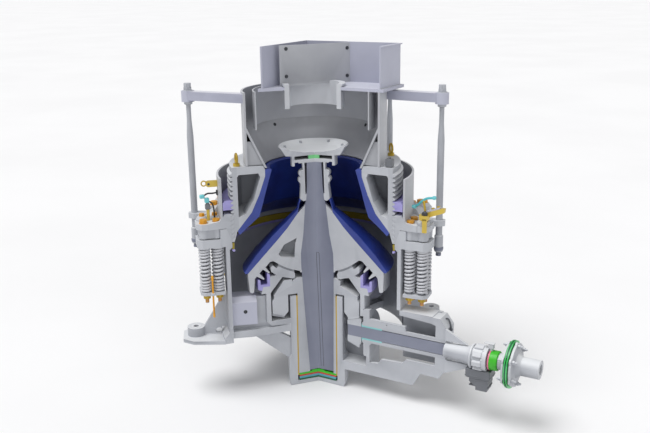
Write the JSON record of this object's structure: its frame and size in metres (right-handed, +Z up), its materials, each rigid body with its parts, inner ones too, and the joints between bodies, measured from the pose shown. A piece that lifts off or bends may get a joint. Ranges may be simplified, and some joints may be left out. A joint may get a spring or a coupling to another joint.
{
  "type": "cone crusher",
  "caption": "Sectioned cone crusher with a gyrating head in a fixed bowl, bevel gear drive, spring groups round the frame and a feed hopper on top.",
  "frame": {"origin": "on the main axis, level with the underside of the base plates and the foot ring", "axes": "+Z up along the main axis, +X out along the drive shaft, the wedge is open on the -Y side from the XZ plane round to 130 degrees below it"},
  "size_m": [4.3367, 2.6817, 4.292],
  "materials": {
    "cast_frame": "satin",
    "sheet_panel": "satin",
    "blue_liner": "satin",
    "blue_head": "satin",
    "shaft_steel": "satin",
    "bronze": "satin",
    "purple_paint": "satin",
    "teal_paint": "satin",
    "green_paint": "satin",
    "red_paint": "satin",
    "cyan_paint": "satin",
    "dark_green_paint": "satin",
    "pink_paint": "satin",
    "spring_steel": "satin",
    "golden_paint": "satin",
    "coupling_paint": "satin",
    "dark_paint": "satin"
  },
  "bodies": {
    "main_frame": {"frame_shell": "cast_frame", "spring_brackets": "cast_frame", "frame_hub": "cast_frame", "frame_arms": "cast_frame", "arm_guards": "sheet_panel", "feet": "cast_frame", "countershaft_box": "sheet_panel", "thrust_plate_red": "red_paint", "thrust_plate_cyan": "cyan_paint", "thrust_plate_dark": "dark_green_paint", "bottom_cover": "cast_frame", "eccentric_bushing": "bronze", "socket": "cast_frame", "socket_liner": "bronze", "labyrinth_seal": "purple_paint", "countershaft_bushing": "teal_paint", "countershaft_housing": "cast_frame", "seal_housing": "sheet_panel", "oil_sump": "dark_paint", "springs": "spring_steel"},
    "eccentric_body": {"eccentric": "cast_frame", "counterweight": "cast_frame", "thrust_plate_green": "green_paint", "bevel_gear": "shaft_steel"},
    "head_body": {"main_shaft": "shaft_steel", "head": "blue_head", "mantle": "blue_liner", "head_nut": "cast_frame", "feed_seat": "bronze", "feed_clamp": "green_paint", "feed_plate": "sheet_panel"},
    "countershaft_body": {"countershaft": "shaft_steel", "pinion": "cast_frame", "seal_collar": "pink_paint", "oil_flinger": "green_paint", "coupling_half_inner": "cast_frame", "coupling_discs": "coupling_paint", "coupling_half_outer": "cast_frame"},
    "upper_body": {"adjustment_ring": "cast_frame", "ring_brackets": "cast_frame", "bowl": "cast_frame", "bowl_screw": "cast_frame", "bowl_rim": "cast_frame", "bowl_ribs": "cast_frame", "bowl_liner": "blue_liner", "clamping_ring": "purple_paint", "clamp_jacks": "golden_paint", "dust_cover": "sheet_panel", "hopper_shell": "sheet_panel", "hopper_cone": "sheet_panel", "hopper_skirt": "sheet_panel", "cover_plate": "cast_frame", "feed_ring": "cast_frame", "feed_box": "sheet_panel", "feed_panel": "sheet_panel", "hopper_arms": "cast_frame", "tie_rods": "cast_frame", "eyebolts": "cast_frame", "spring_bolts": "cast_frame", "spring_plates": "cast_frame"}
  },
  "joints": [
    {"name": "eccentric_spin", "type": "hinge", "parent": "main_frame", "child": "eccentric_body", "pos_m": [0, 0, 0], "axis": [0, 0, 1], "continuous": true},
    {"name": "head_gyration", "type": "hinge", "parent": "eccentric_body", "child": "head_body", "pos_m": [0, 0, 1.674], "axis": [-0.0272, 0, 0.9996], "continuous": true},
    {"name": "countershaft_spin", "type": "hinge", "parent": "main_frame", "child": "countershaft_body", "pos_m": [0, 0, 0.09], "axis": [1, 0, 0], "continuous": true},
    {"name": "tramp_release", "type": "slide", "parent": "main_frame", "child": "upper_body", "axis": [0, 0, 1], "range_m": [0, 0.06], "stiffness_N_per_m": 9900000, "springref_m": -0.03, "deforming": ["springs"]}
  ],
  "couplings": [
    {"joint": "head_gyration", "follows": "eccentric_spin", "ratio": -1},
    {"joint": "countershaft_spin", "follows": "eccentric_spin", "ratio": -3}
  ]
}
